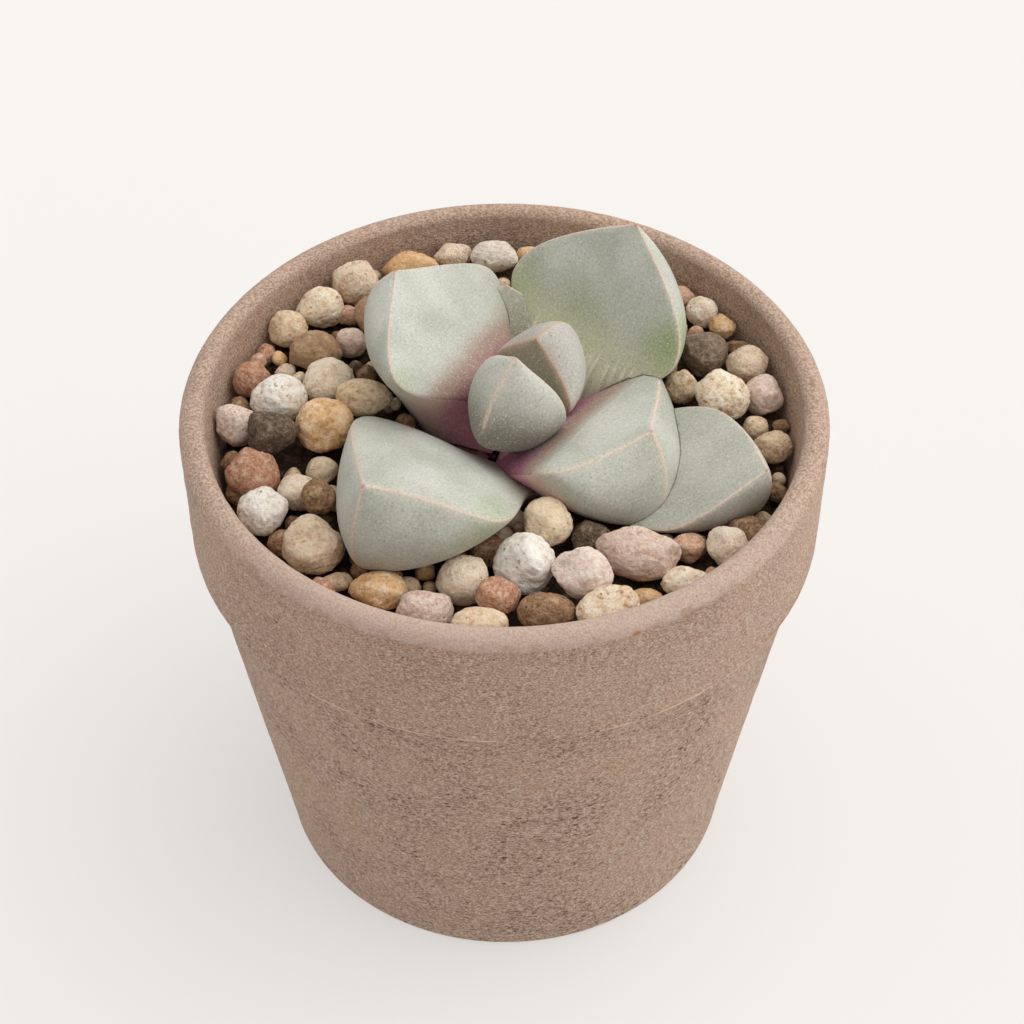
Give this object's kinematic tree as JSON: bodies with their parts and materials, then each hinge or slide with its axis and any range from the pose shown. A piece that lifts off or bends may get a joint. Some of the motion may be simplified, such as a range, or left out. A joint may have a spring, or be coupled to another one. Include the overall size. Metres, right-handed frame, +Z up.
{
  "type": "potted succulent",
  "caption": "Small stone-plant succulent with thick keeled grey-green leaves in a round clay flowerpot, top-dressed with loose pebbles.",
  "frame": {"origin": "middle of the pot's foot, on the surface that it stands on", "axes": "+Z up along the pot's axis, -Y the front, +X to the right seen from the front"},
  "size_m": [0.07, 0.07, 0.0709],
  "materials": {
    "clay": "unglazed fired clay, matt, fine open grain",
    "old_clay": "broken terracotta, matt",
    "soil": "dry mineral potting soil, matt",
    "fine_gravel": "mixed fine gravel, matt",
    "root": "dry corky root bark, matt",
    "leaf": "waxy grey-green leaf skin, matt, with pink edges",
    "cream_stone": "rounded gravel, matt, mottled",
    "buff_stone": "rounded gravel, matt, mottled",
    "tan_stone": "rounded gravel, matt, mottled",
    "orange_stone": "rounded gravel, matt, mottled",
    "rust_stone": "rounded gravel, matt, mottled",
    "brown_stone": "rounded gravel, matt, mottled",
    "mauve_stone": "rounded gravel, matt, mottled",
    "charcoal_stone": "rounded gravel, matt, mottled",
    "white_stone": "pitted pumice, matt"
  },
  "bodies": {
    "root": {"pot": "clay", "drainage_shard": "old_clay", "potting_soil": "soil", "gravel_bed": "fine_gravel", "root_stock": "root", "bud_leaf_front": "leaf", "bud_leaf_back": "leaf", "inner_leaf_left": "leaf", "inner_leaf_right": "leaf", "outer_leaf_back": "leaf", "outer_leaf_front": "leaf", "oldest_leaf_right": "leaf", "oldest_leaf_back": "leaf", "buff_pebble_1": "buff_stone", "orange_pebble_1": "orange_stone", "buff_pebble_2": "buff_stone", "white_pebble_1": "white_stone", "rust_pebble_1": "rust_stone", "cream_pebble_1": "cream_stone", "orange_pebble_2": "orange_stone", "charcoal_pebble_1": "charcoal_stone", "buff_pebble_3": "buff_stone", "tan_pebble_1": "tan_stone", "cream_pebble_2": "cream_stone", "mauve_pebble_1": "mauve_stone", "tan_pebble_2": "tan_stone", "brown_pebble_1": "brown_stone", "buff_pebble_4": "buff_stone", "rust_pebble_2": "rust_stone", "mauve_pebble_2": "mauve_stone", "cream_pebble_3": "cream_stone", "cream_pebble_4": "cream_stone", "mauve_pebble_3": "mauve_stone", "charcoal_pebble_2": "charcoal_stone", "tan_pebble_3": "tan_stone", "white_pebble_2": "white_stone", "brown_pebble_2": "brown_stone", "rust_pebble_3": "rust_stone", "brown_pebble_3": "brown_stone", "cream_pebble_5": "cream_stone", "buff_pebble_5": "buff_stone", "mauve_pebble_4": "mauve_stone", "orange_pebble_3": "orange_stone", "buff_pebble_6": "buff_stone", "white_pebble_3": "white_stone", "buff_pebble_7": "buff_stone", "brown_pebble_4": "brown_stone", "rust_pebble_4": "rust_stone", "charcoal_pebble_3": "charcoal_stone", "mauve_pebble_5": "mauve_stone", "white_pebble_4": "white_stone", "orange_pebble_4": "orange_stone", "rust_pebble_5": "rust_stone", "buff_pebble_8": "buff_stone", "tan_pebble_4": "tan_stone", "brown_pebble_5": "brown_stone", "tan_pebble_5": "tan_stone", "cream_pebble_6": "cream_stone"}
  },
  "joints": []
}
